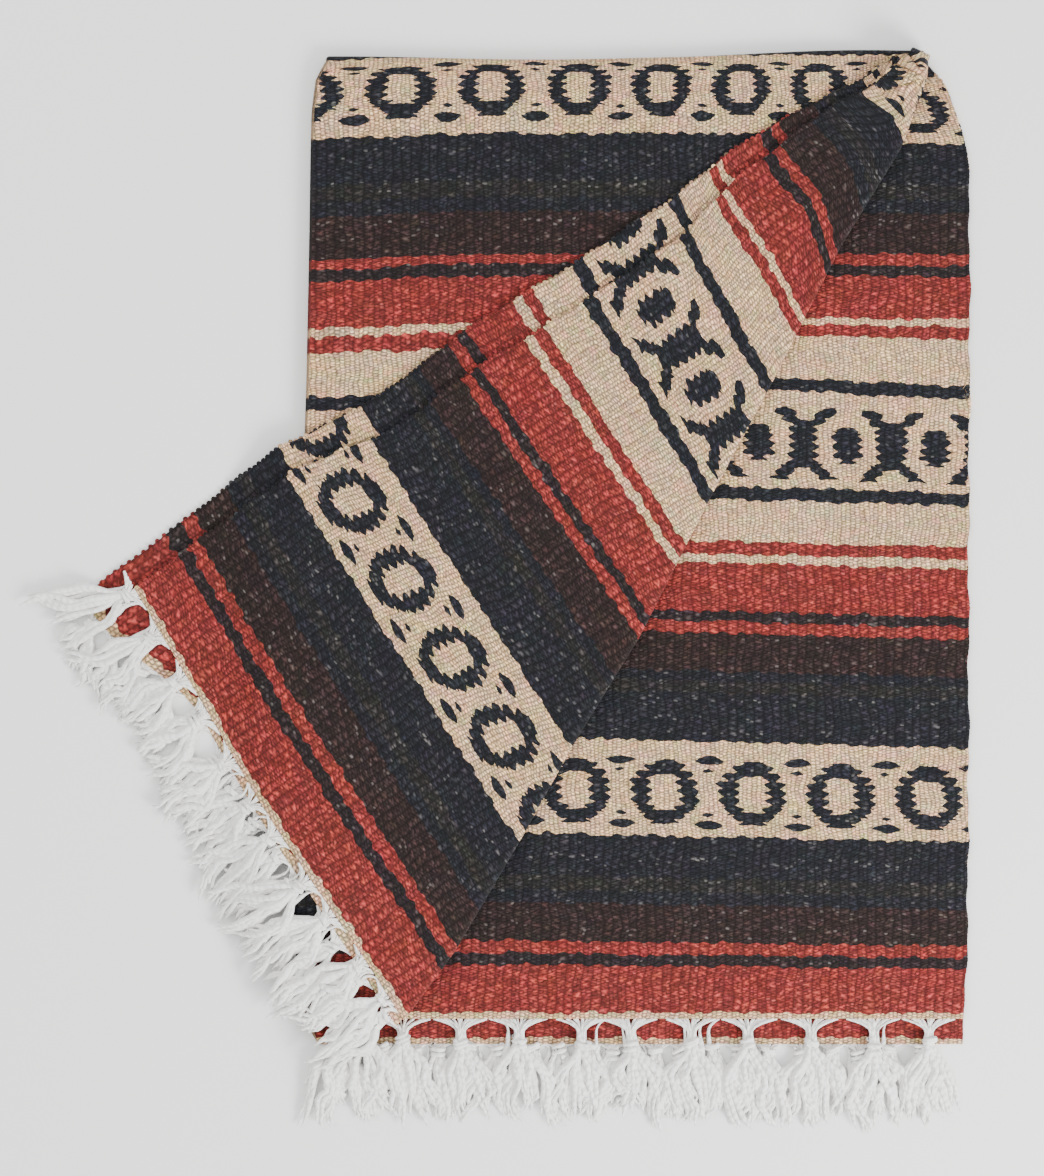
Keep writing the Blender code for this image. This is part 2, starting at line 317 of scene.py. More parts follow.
def cloth_sheet(name, middle, uv, material):
    """A closed sheet of cloth round a grid of points in its middle.

    Both faces lie half the cloth's thickness along the grid's own normal, which is the cross
    product of its two directions. Towards its four edges the thickness falls off in a half
    round, over the close lines there.
    """
    rows, cols = middle.shape[:2]
    normal = np.cross(np.gradient(middle, axis=1), np.gradient(middle, axis=0))
    normal /= np.maximum(np.linalg.norm(normal, axis=-1, keepdims=True), 1e-9)
    share = edge_rounding(rows)[:, None] * edge_rounding(cols)[None, :]
    offset = normal * (CLOTH / 2 * share)[..., None]
    upper = grid_faces(rows, cols)
    lower = upper[:, ::-1] + rows * cols
    index = np.arange(rows * cols).reshape(rows, cols)
    loop = np.concatenate([index[0, :-1], index[:-1, -1], index[-1, :0:-1], index[:0:-1, 0]])
    after = np.roll(loop, -1)
    rim = np.stack([loop, loop + rows * cols, after + rows * cols, after], axis=-1)
    points = np.concatenate([(middle + offset).reshape(-1, 3), (middle - offset).reshape(-1, 3)])
    faces = np.concatenate([upper, lower, rim])
    pairs = np.tile(uv.reshape(-1, 2), (2, 1))
    return ridden(mesh_object(name, points, faces, pairs), material)


def stacked(*parts):
    """Joins arrays of one shape as the last axis of a grid."""
    return np.stack(np.broadcast_arrays(*parts), axis=-1).astype(float)


def leaf_path(top_count, back_count):
    """Across a folded leaf: how far along its width, and how far round its fold.

    The share of the width runs from 0 at the right edge to 1 at the fold and back to 0. The
    angle is 0 on the top layer, goes through half a turn at the fold and stays there.
    """
    close = np.array([0.0, 0.00045, 0.00135, 0.00225])
    over = np.concatenate([close, np.linspace(0.0, 1.0, top_count)[1:-1]])
    back = np.concatenate([np.linspace(1.0, 0.0, back_count)[1:-1], close[::-1]])
    share = np.concatenate([over, np.ones(9), back])
    angle = np.concatenate([0.0 * over, np.linspace(0.0, np.pi, 9), 0.0 * back + np.pi])
    return share[None, :], angle[None, :]


def lower_cloth(material):
    """The lower leaf: a path across it runs over the top layer, round the left fold and back.

    Height of a point is its layer's, and on the fold half a turn of 1.65 mm. The bottom layer
    reaches further at the hem.
    """
    share, angle = leaf_path(96, 34)
    under = angle / np.pi
    length = edge_lines(0.0, 1.0, 0.0085, 0.0016)[:, None]
    hem = HEM_Y + (UNDER_HEM_Y - HEM_Y) * under
    y = hem + (TOP_Y - ROLL - 1.0 - hem) * length
    left = column(PACK, "y", y, "left") + LEAF_MIDDLE
    right = right_edge(y) + 1.2 * under
    x = right + (left - right) * share - LAYER_TURN * np.sin(angle)
    shown = smooth((x - fold_x(y) - 14.0) / 40.0) * (1.0 - under)
    z = LEAF_MIDDLE + LAYER_TURN * np.cos(angle) + dents(x, y) * shown
    z = z - 0.9 * np.clip((y - 380.0) / 70.0, 0.0, 1.0) ** 2 * (1.0 - under)
    across = LEAF_TAKE_UP * (right - x) + RIGHT_START + BOTTOM_START * under
    slope = np.interp(y - hem, SLANT["weft"], SLANT["slope"])
    weft = y - hem + (slope * (x - 243.0) + 0.42 * np.maximum(y - 378.0, 0.0)) * (1.0 - under)
    return cloth_sheet("lower_cloth", stacked(x, y, z), stacked(across, weft), material)


def upper_cloth(material):
    """The upper leaf left of the slanting fold, with its roll over the top edge to the floor.

    Across it the path runs over the top layer, round the left fold and back underneath. Along
    it the last rows are an arc about the middle of the four layers: the top layer's has a
    radius of 4.95 mm and ends on the floor. The rolled edge rises a little to the right.
    """
    share, angle = leaf_path(84, 24)
    under = angle / np.pi
    middle_y = TOP_Y - ROLL
    flat = np.append(edge_lines(HEM_Y, middle_y, 8.0, 1.5)[:-4], middle_y)
    arc = np.concatenate([np.linspace(0.0, np.pi, 15)[1:], np.pi + np.array([0.01, 0.02, 0.03])])
    y0 = np.concatenate([flat, np.full(len(arc), middle_y)])[:, None]
    roll = np.concatenate([np.zeros(len(flat)), arc])[:, None]
    left = column(PACK, "y", y0, "left") + LEAF_MIDDLE
    right = fold_x(y0) - 8.6
    tuck = 2.8 * (1.0 - np.cos(np.minimum(roll, np.pi / 2))) * (1.0 - share)
    x = right + (left - right) * share - LAYER_TURN * np.sin(angle) + tuck
    radius = UPPER_BASE + LEAF_MIDDLE + LAYER_TURN * np.cos(angle) - ROLL
    near_top = np.clip((y0 - 380.0) / 80.0, 0.0, 1.0)
    rise = 9.0 * smooth((x - 40.0) / 200.0) * near_top + 1.6 * np.sin(x / 61.0) * near_top
    y = y0 + radius * np.sin(roll) + rise
    waves = dents(x, y0) * (1.0 - under) * np.clip((middle_y - y0) / 30.0, 0.0, 1.0)
    z = ROLL + radius * np.cos(roll) + waves
    droop = 7.0 * np.clip((-170.0 - x) / 160.0, 0.0, 1.0)
    place = y0 + radius * roll * (1.0 - under) + rise + droop
    weft = np.interp(place, UPPER_ROWS["place"], UPPER_ROWS["weft"])

    # The top band's ovals lie 80.6 mm apart, a little closer towards one end than the other
    bend = 0.13 * (1.0 - ((x + 26.0) / 201.0) ** 2)
    shown = MOTIF_PITCH * (12.0 - (x + 227.7) / 80.6 + bend)
    across = shown * (1.0 - under) + (LINING_START + x) * under
    return cloth_sheet("upper_cloth", stacked(x, y, z), stacked(across, weft), material)


def flap_rows(first):
    """Rows of the flap from its hem to the gathered corner, and how far each turns down."""
    flat = np.append(edge_lines(first, 850.0, 7.5, 1.5)[:-4], np.arange(852.0, LAST_ROW + 0.1, 2.0))
    down = np.append(np.linspace(0.0, np.pi / 2, 6)[1:], np.pi / 2 + np.array([0.02, 0.04, 0.06]))
    weft = np.concatenate([flat, np.full(len(down), flat[-1])])
    return weft[:, None], np.concatenate([np.zeros(len(flat)), down])[:, None]


def flap_path(reach, radius, tail, count):
    """Across the flap: how far it is from the slanting fold, and how far round the roll there.

    Past the roll's middle line the path is an arc whose radius is the layer's height over it,
    and then the tail, which lies underneath.
    """
    over = np.linspace(0.0, 1.0, count)[None, 1:-1]
    close = np.array([[0.0, 0.12, 0.45, 0.98]])
    turn = np.linspace(0.0, np.pi, 11)[None, :]
    behind = tail * np.array([[0.3, 0.7, 0.9, 0.94, 0.98, 1.0]])
    away = np.concatenate([
        reach - close,
        reach + (FOLD_ROLL - reach) * over,
        FOLD_ROLL - radius * np.sin(turn) + 0.0 * reach,
        FOLD_ROLL + behind + 0.0 * reach,
    ], axis=1)
    ahead = np.zeros((1, close.size + over.size))
    return away, np.concatenate([ahead, turn, np.full((1, behind.size), np.pi)], axis=1)


def flap_sheet(name, material, is_under, level, tail, count, start):
    """One layer of the flap: from its selvedge to the slanting fold, then round the roll there.

    Towards the gathered corner the rows draw together in a half round, and the last ones turn
    down in a quarter round. level is the layer's height over what the flap lies on.
    """
    weft, down = flap_rows(-UNDER_STEP if is_under else 0.0)
    width = flap_width(weft)
    radius = FLAP_BASE + level - ROLL_MIDDLE
    away, angle = flap_path(flap_reach(weft, level, is_under), radius, tail, count)
    x, y = laid_point(weft, away / width, is_under)

    # The corner's rows draw in to its middle line
    drawn_share = np.clip((weft - DRAW_IN_FROM) / (LAST_ROW - DRAW_IN_FROM), 0.0, 1.0)
    draw_in = 1.0 - np.sqrt(1.0 - (0.72 * drawn_share) ** 2)
    mid_x, mid_y = flap_point(weft, 0.5)
    turned = TURN_DOWN * np.sin(np.minimum(down, np.pi / 2))
    x = x + (mid_x - x) * draw_in + TURN_DOWN_WAY[0] * turned
    y = y + (mid_y - y) * draw_in + TURN_DOWN_WAY[1] * turned

    on_top = angle < 0.01
    z = np.where(on_top, rest_height(x, y) + level, ROLL_MIDDLE + radius * np.cos(angle))
    creased = smooth((away - FOLD_ROLL) / 40.0) * on_top * (0.4 if is_under else 1.0)
    z = z + creased * dents(x, y) + gathered(x, y) * (1.0 - angle / np.pi)
    z = z - (z - 4.0) * (1.0 - np.cos(down)) * (1.0 - angle / np.pi)

    # Across the map the flap's cloth is drawn together towards the corner
    across = np.where(on_top, width - away, width - FOLD_ROLL + radius * angle)
    wide = FLAP_TAKE_UP - 0.45 * smooth((weft - 780.0) / 90.0)
    across = (across - width) * FLAP_TAKE_UP + width * wide + start
    row = flap_drift(weft, away / width) + woven_row(weft, is_under) + TURN_DOWN * down
    return cloth_sheet(name, stacked(x, y, z), stacked(across, row), material)


def tube_grid(centre, radius, sides=6, flat=0.85):
    """Tubes of yarn round paths, as points, faces and a weave map.

    centre has the axes tube, ring and place. Each ring is an ellipse across the path, as wide
    as the radius says and a little lower. The map holds the way round and along, and a whole
    number of hundreds that differs from tube to tube.
    """
    ahead = np.gradient(centre, axis=1)
    ahead /= np.linalg.norm(ahead, axis=-1, keepdims=True)
    level = np.cross(ahead, [0.0, 0.0, 1.0])
    level /= np.linalg.norm(level, axis=-1, keepdims=True)
    upright = np.cross(level, ahead) * flat
    angle = 2 * np.pi * np.arange(sides)[:, None] / sides
    around = level[..., None, :] * np.cos(angle) + upright[..., None, :] * np.sin(angle)
    points = centre[..., None, :] + around * radius[..., None, None]
    count, rings = centre.shape[:2]
    index = np.arange(count * rings * sides).reshape(count, rings, sides)
    turned = np.roll(index, -1, axis=2)
    quads = (index[:, :-1], turned[:, :-1], turned[:, 1:], index[:, 1:])
    faces = np.stack(quads, axis=-1).reshape(-1, 4)
    length = np.cumsum(np.linalg.norm(np.gradient(centre, axis=1), axis=-1), axis=1)
    own = 100.0 * np.arange(count)[:, None, None]
    uv = stacked(own + 3.0 * np.arange(sides), length[..., None] + 0.0 * own)
    return points.reshape(-1, 3), faces, uv.reshape(-1, 2)


def joined(grids):
    """Joins several sets of points, faces and maps as one."""
    points, faces, uv = zip(*grids)
    starts = np.cumsum([0] + [len(one) for one in points[:-1]])
    faces = [one + start for one, start in zip(faces, starts)]
    return np.concatenate(points), np.concatenate(faces), np.concatenate(uv)


def hem_run(hem):
    """Distance along a hem from its first point to each of its points."""
    return np.append(0.0, np.cumsum(np.hypot(*np.diff(hem, axis=0).T)))


def hem_frames(hem, middle):
    """Points at these distances along a hem, and the directions along it and out of it."""
    run = hem_run(hem)

    def on_hem(place):
        return stacked(np.interp(place, run, hem[:, 0]), np.interp(place, run, hem[:, 1]))

    along = on_hem(middle + 12.0) - on_hem(middle - 12.0)
    along /= np.linalg.norm(along, axis=-1, keepdims=True)
    return on_hem(middle), along, stacked(along[..., 1], -along[..., 0])


def by_lock(draw, bundles, low, high):
    """One random number for each lock of each bundle, given to all of its yarns."""
    return draw.uniform(low, high, (bundles, LOCKS, 1))[:, LOCK_OF_YARN]


def yarn_fan(draw, pitch, knot, length, tilt, loose):
    """How far out and sideways the yarns go, how gathered they are and how fanned out.

    Sideways a path goes from the yarn's root to the knot and on to its place in the fan, by
    two smooth steps, with a lean that grows from halfway to the knot and a bend past it.
    """
    bundles = len(knot)
    every = (bundles, YARNS, 1)
    far = length * by_lock(draw, bundles, 0.8, 1.05) * draw.uniform(0.8, 1.0, every) * YARN_RING
    past = np.maximum(far - knot, 0.0)
    place = (np.arange(YARNS) / (YARNS - 1) - 0.5)[:, None] + draw.normal(0.0, 0.04, every)
    held = np.where(draw.uniform(0.0, 1.0, every) < loose, 0.45, 1.0)
    gather = held * (1.0 - (1.0 - np.clip(far / np.minimum(knot, 13.0), 0.0, 1.0)) ** 2.2)
    fan = smooth((past - 1.0) / (0.32 * length))
    tilt = tilt + draw.normal(0.0, 0.09, knot.shape)
    side = place * pitch * 0.92 * (1.0 - gather) + place * 7.0 * gather * (1.0 - fan)
    in_fan = 0.5 * place + 0.5 * (LOCK_OF_YARN[:, None] - (LOCKS - 1) / 2) / LOCKS
    side = side + in_fan * pitch * by_lock(draw, bundles, 1.0, 1.3) * fan * gather
    side = side + tilt * np.maximum(far - knot * 0.5, 0.0)
    bend = by_lock(draw, bundles, -0.3, 0.3) + draw.uniform(-0.1, 0.1, every)
    return far, side + bend * past ** 2 / length, gather, fan


def yarn_ends(draw, frames, pitch, knot, length, tilt, loose, rest):
    """The yarns of a row of bundles, as tubes that wave alike in one lock.

    A yarn's height is that of what lies below, its own radius and its place in the pile.
    """
    base, along, out = frames
    bundles = len(knot)
    every = (bundles, YARNS, 1)
    far, side, gather, fan = yarn_fan(draw, pitch, knot, length, tilt, loose)
    past = np.maximum(far - knot, 0.0)
    phase = by_lock(draw, bundles, 0.0, 2 * np.pi) + draw.uniform(-0.6, 0.6, every)
    turns = np.pi * by_lock(draw, bundles, 0.7, 2.0) * YARN_RING
    swing = by_lock(draw, bundles, 1.5, 6.0) * smooth(past / 40.0)
    side = side + swing * (np.sin(2.0 * turns + phase) - 0.4 * np.sin(phase))
    side = side + 0.3 * swing * np.sin(5.0 * turns + 2.0 * phase)
    far = far + 0.5 * swing * np.sin(3.2 * turns + 3.0 * phase)
    plan = base + along * side[..., None] + out * far[..., None]

    fluff = 0.4 + 0.6 * smooth((far - 0.4 * knot) / 22.0)
    lumps = 1.0 + 0.15 * np.sin(7.0 * turns + phase)
    radius = YARN_RADIUS * draw.uniform(0.65, 1.0, every) * fluff * lumps
    radius = radius * np.clip(1.0 - YARN_RING ** 6.0, 0.02, 1.0) ** 0.6
    pile = draw.uniform(0.0, 1.0, every)
    arch = pile * (4.5 * gather + 2.5 * fan) * (1.0 - 0.65 * YARN_RING)
    arch = arch + 0.25 * swing * (1.0 + np.sin(2.6 * turns + 5.0 * phase))
    height = rest(plan[..., 0], plan[..., 1]) + 0.85 * radius + arch
    centre = stacked(plan[..., 0], plan[..., 1], height)
    rings = len(YARN_RING)
    return tube_grid(centre.reshape(-1, rings, 3), radius.reshape(-1, rings))


def knot_wraps(frames, knot, number, rest):
    """One yarn wound round each knot, as the tube of a helix."""
    base, along, out = (part[:, 0] for part in frames)
    wound = np.linspace(0.0, 4.2 * np.pi, 34)[None, :]
    around = 5.8 * np.cos(wound + number)
    onward = knot - 4.0 + (2.0 + 1.2 * np.sin(3.0 * number)) * wound / np.pi
    onward = onward + 0.35 * around * np.sin(5.0 * number)
    plan = base + along * around[..., None] + out * onward[..., None]
    height = rest(plan[..., 0], plan[..., 1]) + 4.8 + 3.2 * np.sin(wound + number)
    thick = np.broadcast_to(2.1 + 0.35 * np.sin(3.0 * wound), height.shape)
    return tube_grid(stacked(plan[..., 0], plan[..., 1], height), thick)


def fringe_row(name, material, hem, reach, lean, knot_at, rest, seed, bundles, loose=0.14):
    """Warp ends in knotted bundles along a hem, as locks of loose yarn.

    reach and lean hold the length and the slant at even places along the hem, and rest gives
    the height of what lies below. The arrays have the axes bundle, yarn and ring.
    """
    draw = np.random.default_rng(seed)
    hem = np.asarray(hem, float)
    pitch = hem_run(hem)[-1] / bundles
    number = np.arange(bundles)[:, None, None]
    frames = hem_frames(hem, (number + 0.5) * pitch + draw.normal(0.0, 3.5, number.shape))
    knot = knot_at + draw.normal(0.0, 2.0, number.shape)
    share = number / max(bundles - 1, 1)
    length, tilt = (np.interp(share, np.linspace(0.0, 1.0, len(row)), row) for row in (reach, lean))
    ends = yarn_ends(draw, frames, pitch, knot, length, tilt, loose, rest)
    wraps = knot_wraps(frames, knot[..., 0], number[..., 0], rest)
    return ridden(mesh_object(name, *joined([ends, wraps])), material)


def stray_fibres(name, material, edge, across, count, seed):
    """Short hairs of yarn that stand out from a selvedge, bent as parts of a parabola."""
    draw = np.random.default_rng(seed)
    start = draw.integers(0, len(edge) - 1, count)
    place = edge[start, :3]
    along = edge[start + 1, :3] - place
    along /= np.linalg.norm(along, axis=-1, keepdims=True)
    out = stacked(along[:, 1], -along[:, 0], 0.0 * start)
    ring = np.linspace(0.0, 1.0, 6)[None, :, None]
    one = (count, 1, 1)
    length = draw.uniform(1.5, 6.5, one)
    bend = draw.normal(0.0, 0.6, one)
    rise = draw.uniform(-0.15, 0.5, one) * [[[0.0, 0.0, 1.0]]]
    path = out[:, None] * ring + along[:, None] * (bend * ring + 0.7 * bend * ring ** 2)
    centre = place[:, None] + length * (path + rise * ring)
    radius = draw.uniform(0.2, 0.42, (count, 1)) * (1.0 - 0.7 * ring[..., 0])
    points, faces, _ = tube_grid(centre, radius, sides=3, flat=1.0)
    drawn = stacked(across + 9.0 * draw.uniform(-1.0, 1.0, count), edge[start, 3])
    uv = np.repeat(drawn, 3 * radius.shape[1], axis=0)
    return ridden(mesh_object(name, points, faces, uv), material)


def weft_turns(name, material, edge, across):
    """Loops where the weft turns at a selvedge, one for every two picks.

    Each path is a half oval out of the edge, from one pick to the next. edge holds the place
    and the weft row of each loop, and across is where the cloth's own map puts that edge.
    """
    place, weft = edge[:, :3], edge[:, 3]
    along = np.gradient(place, axis=0)
    along /= np.linalg.norm(along, axis=-1, keepdims=True)
    out = stacked(along[:, 1], -along[:, 0], 0.0 * weft)
    angle = np.linspace(0.0, np.pi, 7)[None, :, None]
    size = 1.4 + 0.6 * np.sin(37.0 * weft)
    reach = size[:, None, None] * np.sin(angle) - 0.6
    centre = place[:, None] + out[:, None] * reach - along[:, None] * 1.4 * np.cos(angle)
    radius = np.full(centre.shape[:2], 1.25)
    points, faces, _ = tube_grid(centre, radius, sides=5, flat=1.0)
    uv = np.repeat(stacked(across, weft), radius.shape[1] * 5, axis=0)
    return ridden(mesh_object(name, points, faces, uv), material)


def linear(code):
    """Turns an sRGB hex colour into linear RGBA."""
    parts = np.array([int(code[i:i + 2], 16) for i in (1, 3, 5)]) / 255
    parts = np.where(parts <= 0.04045, parts / 12.92, ((parts + 0.055) / 1.055) ** 2.4)
    return (*parts.tolist(), 1.0)


def put(tree, kind, inputs, out=0, **settings):
    """Adds a node, sets its settings, links or sets its inputs, and returns one output."""
    made = tree.nodes.new("ShaderNode" + kind)
    for key, value in settings.items():
        setattr(made, key, value)
    for key, value in inputs.items():
        if isinstance(value, bpy.types.NodeSocket):
            tree.links.new(value, made.inputs[key])
        else:
            made.inputs[key].default_value = value
    return made.outputs[out] if made.outputs else None


RED = linear("#752A26")
CHARCOAL = linear("#1B1B20")
BROWN = linear("#271C1B")
BEIGE = linear("#C2A17D")
LINE = linear("#1A1B20")
DUSK = linear("#211F1F")
BLACK = linear("#231B1C")
FLECK = linear("#96928C")

# Stripes of the cloth from the hem: where each begins and its colour
STRIPES = [
    (6.0, RED), (49.6, BLACK), (60.0, RED),
    (71.0, BROWN), (107.0, CHARCOAL), (119.0, DUSK),
    (132.5, CHARCOAL), (172.8, BEIGE), (264.0, CHARCOAL),
    (311.7, DUSK), (323.0, CHARCOAL), (333.0, BROWN),
    (369.5, RED), (381.0, BLACK), (391.0, RED),
    (438.0, BEIGE), (446.7, RED), (458.9, BEIGE),
    (498.6, LINE), (511.3, BEIGE), (603.5, LINE),
    (616.6, BEIGE), (660.0, RED), (671.4, BEIGE),
    (678.2, RED), (719.6, BLACK), (730.2, RED),
    (741.0, BROWN), (781.0, CHARCOAL), (794.0, DUSK),
    (808.0, CHARCOAL), (849.6, BEIGE), (940.6, CHARCOAL),
]

# The woven figures: the row in the middle of the crosses, how far from it the ovals' rows lie,
# and how far apart the figures of a row are
PATTERN_MIDDLE = 554.3
OVAL_DISTANCE = 339.7
MOTIF_PITCH = 83.0
CROSS_SHIFT = 36.0

# Half widths of the figures: within each distance of their middle line, this much more
OVAL_OUTER = [(30.5, 14.0), (27.0, 6.0), (20.5, 8.0), (12.5, 4.5)]
OVAL_INNER = [(17.0, 8.0), (13.0, 3.0)]
CROSS_BODY = [(23.0, 15.5)]
DIAMOND = [(17.5, 10.0), (12.5, 5.0)]


def notched(tree, place, row, steps, notch, depth):
    """1 where a place lies within a half width, whose edge is notched to this depth.

    The half width adds up the width of every step whose reach is over the row.
    """
    width = 0.0
    for reach, more in steps:
        inside = put(tree, "Math", {0: row, 1: reach}, operation="LESS_THAN")
        width = put(tree, "Math", {0: inside, 1: more, 2: width}, operation="MULTIPLY_ADD")
    width = put(tree, "Math", {0: notch, 1: depth, 2: width}, operation="MULTIPLY_ADD")
    return put(tree, "Math", {0: place, 1: width}, operation="LESS_THAN")


def drawn_map(tree):
    """The weave map in millimetres, wandering by up to 3 mm as hand-beaten weft does."""
    weave = put(tree, "UVMap", {}, uv_map="weave")
    place = put(tree, "VectorMath", {0: weave, 3: 1000.0}, operation="SCALE")
    for size, amount in ((0.04, (7.0, 6.0, 0.0)), (0.3, (1.6, 1.3, 0.0))):
        wander = put(tree, "TexNoise", {"Vector": place, "Scale": size, "Detail": 2.0}, out=1,
                     noise_dimensions="2D")
        wander = put(tree, "VectorMath", {0: wander, 1: (0.5, 0.5, 0.5)}, operation="SUBTRACT")
        place = put(tree, "VectorMath", {0: wander, 1: amount, 2: place},
                    operation="MULTIPLY_ADD")
    return place


def cells(tree, u, v, wide, tall):
    """Floats of a plain weave: every second rib lies half a float out of step.

    Returns a float's rib, the pick of weft that makes it, and two arcs that are 1 in its
    middle and 0 at its sides: across the rib and along it.
    """
    rib_place = put(tree, "Math", {0: u, 1: wide}, operation="DIVIDE")
    rib = put(tree, "Math", {0: rib_place}, operation="FLOOR")
    odd = put(tree, "Math", {0: rib, 1: 2.0}, operation="FLOORED_MODULO")
    row_place = put(tree, "Math", {0: v, 1: tall}, operation="DIVIDE")
    row_place = put(tree, "Math", {0: odd, 1: 0.5, 2: row_place}, operation="MULTIPLY_ADD")
    row = put(tree, "Math", {0: row_place}, operation="FLOOR")
    pick = put(tree, "Math", {0: 1.0, 1: odd}, operation="SUBTRACT")
    pick = put(tree, "Math", {0: row, 1: 2.0, 2: pick}, operation="MULTIPLY_ADD")
    arcs = []
    for place, number in ((rib_place, rib), (row_place, row)):
        part = put(tree, "Math", {0: place, 1: number}, operation="SUBTRACT")
        part = put(tree, "Math", {0: part, 1: np.pi}, operation="MULTIPLY")
        arcs.append(put(tree, "Math", {0: part}, operation="SINE"))
    return rib, pick, *arcs


def lens(tree, u, v, wide, tall):
    """1 inside a pointed dash of these half sizes, whose height is a parabola sideways."""
    up = put(tree, "Math", {0: v, 1: tall}, operation="DIVIDE")
    up = put(tree, "Math", {0: up}, operation="ABSOLUTE")
    side = put(tree, "Math", {0: u, 1: wide}, operation="DIVIDE")
    side = put(tree, "Math", {0: side, 1: 2.0}, operation="POWER")
    both = put(tree, "Math", {0: up, 1: side}, operation="ADD")
    return put(tree, "Math", {0: both, 1: 1.0}, operation="LESS_THAN")


def from_repeat(tree, u, shift):
    """Distances along the weft from the middle of the nearest figure, and from halfway."""
    turns = put(tree, "Math", {0: u, 1: shift}, operation="SUBTRACT")
    turns = put(tree, "Math", {0: turns, 1: MOTIF_PITCH}, operation="DIVIDE")
    half = put(tree, "Math", {0: turns, 1: 0.5}, operation="PINGPONG")
    near = put(tree, "Math", {0: half, 1: MOTIF_PITCH}, operation="MULTIPLY")
    return near, put(tree, "Math", {0: MOTIF_PITCH / 2, 1: near}, operation="SUBTRACT")


def ovals(tree, u, oval_v, notch):
    """The rings of the outer bands, and the dashes that lie halfway between them."""
    near, halfway = from_repeat(tree, u, 0.0)
    outer = notched(tree, near, oval_v, OVAL_OUTER, notch, -5.5)
    inner = notched(tree, near, oval_v, OVAL_INNER, notch, 6.5)
    open_rows = put(tree, "Math", {0: oval_v, 1: OVAL_INNER[0][0]}, operation="LESS_THAN")
    inner = put(tree, "Math", {0: inner, 1: open_rows}, operation="MULTIPLY")
    found = [put(tree, "Math", {0: outer, 1: inner}, operation="SUBTRACT")]
    for high, wide, tall in ((30.5, 13.5, 4.2), (21.0, 5.0, 1.8)):
        up = put(tree, "Math", {0: oval_v, 1: high}, operation="SUBTRACT")
        found.append(lens(tree, halfway, up, wide, tall))
    return found


def crosses(tree, u, cross_v, notch):
    """The middle band's crosses, whose four arms slant outwards, and the diamonds halfway."""
    near, halfway = from_repeat(tree, u, CROSS_SHIFT)
    body = notched(tree, near, cross_v, CROSS_BODY, notch, -6.0)
    block = notched(tree, halfway, cross_v, DIAMOND, notch, -5.5)
    arm = put(tree, "Math", {0: cross_v, 1: -0.85, 2: near}, operation="MULTIPLY_ADD")
    arm = put(tree, "Math", {0: arm, 1: 6.0}, operation="ADD")
    arm = put(tree, "Math", {0: arm}, operation="ABSOLUTE")
    half = put(tree, "Math", {0: notch, 1: -4.5, 2: 9.5}, operation="MULTIPLY_ADD")
    arm = put(tree, "Math", {0: arm, 1: half}, operation="LESS_THAN")
    for row, side in ((19.0, "GREATER_THAN"), (34.5, "LESS_THAN")):
        inside = put(tree, "Math", {0: cross_v, 1: row}, operation=side)
        arm = put(tree, "Math", {0: arm, 1: inside}, operation="MULTIPLY")
    return [body, block, arm]


def figures(tree, u, v):
    """1 on the dark figures of the three patterned bands: ovals in two, crosses in the middle.

    Their side edges are notched by the weft, once every 8 mm.
    """
    notch = put(tree, "Math", {0: v, 1: 4.0}, operation="PINGPONG")
    notch = put(tree, "Math", {0: notch, 1: 4.0}, operation="DIVIDE")
    notch = put(tree, "Math", {0: notch, 1: 1.5}, operation="POWER")
    cross_v = put(tree, "Math", {0: v, 1: PATTERN_MIDDLE}, operation="SUBTRACT")
    cross_v = put(tree, "Math", {0: cross_v}, operation="ABSOLUTE")
    oval_v = put(tree, "Math", {0: cross_v, 1: OVAL_DISTANCE}, operation="SUBTRACT")
    oval_v = put(tree, "Math", {0: oval_v}, operation="ABSOLUTE")
    figure = 0.0
    for one in ovals(tree, u, oval_v, notch) + crosses(tree, u, cross_v, notch):
        figure = put(tree, "Math", {0: figure, 1: one}, operation="MAXIMUM")
    return figure


def float_bumps(tree, u, v, share, sharp):
    """Bumps of floats of this share of the full size: bump, chance number, cell and pick."""
    rib, pick, rib_arc, pick_arc = cells(tree, u, v, WARP_PITCH * share, FLOAT_PITCH * share)
    rib_arc = put(tree, "Math", {0: rib_arc, 1: sharp}, operation="POWER")
    pick_arc = put(tree, "Math", {0: pick_arc, 1: 0.4 * sharp + 0.7}, operation="POWER")
    bump = put(tree, "Math", {0: rib_arc, 1: pick_arc}, operation="MULTIPLY")
    cell = put(tree, "CombineXYZ", {0: rib, 1: pick})
    chance = put(tree, "TexWhiteNoise", {"Vector": cell}, noise_dimensions="2D")
    return bump, chance, cell, pick


def bare_material(name):
    """A new material with an empty node tree, and that tree."""
    made = bpy.data.materials.new(name)
    made.use_nodes = True
    made.node_tree.nodes.clear()
    return made, made.node_tree


def dyed_yarn(tree, u, v, chance):
    """Colour of the yarn: the stripes, and the woven figures on them.

    The last pick of a colour shows on every second rib, so the stripes are scalloped.
    """
    edge = put(tree, "Math", {0: u, 1: np.pi / WARP_PITCH}, operation="MULTIPLY")
    edge = put(tree, "Math", {0: edge}, operation="SINE")
    edge = put(tree, "Math", {0: edge, 1: 0.85, 2: v}, operation="MULTIPLY_ADD")
    edge = put(tree, "Math", {0: chance, 1: edge}, operation="ADD")
    colour = BEIGE
    for start, dye in STRIPES:
        past = put(tree, "Math", {0: edge, 1: start + 0.5}, operation="GREATER_THAN")
        colour = put(tree, "Mix", {0: past, 6: colour, 7: dye}, out=2, data_type="RGBA")
    figure = figures(tree, u, v)
    return put(tree, "Mix", {0: figure, 6: colour, 7: LINE}, out=2, data_type="RGBA")


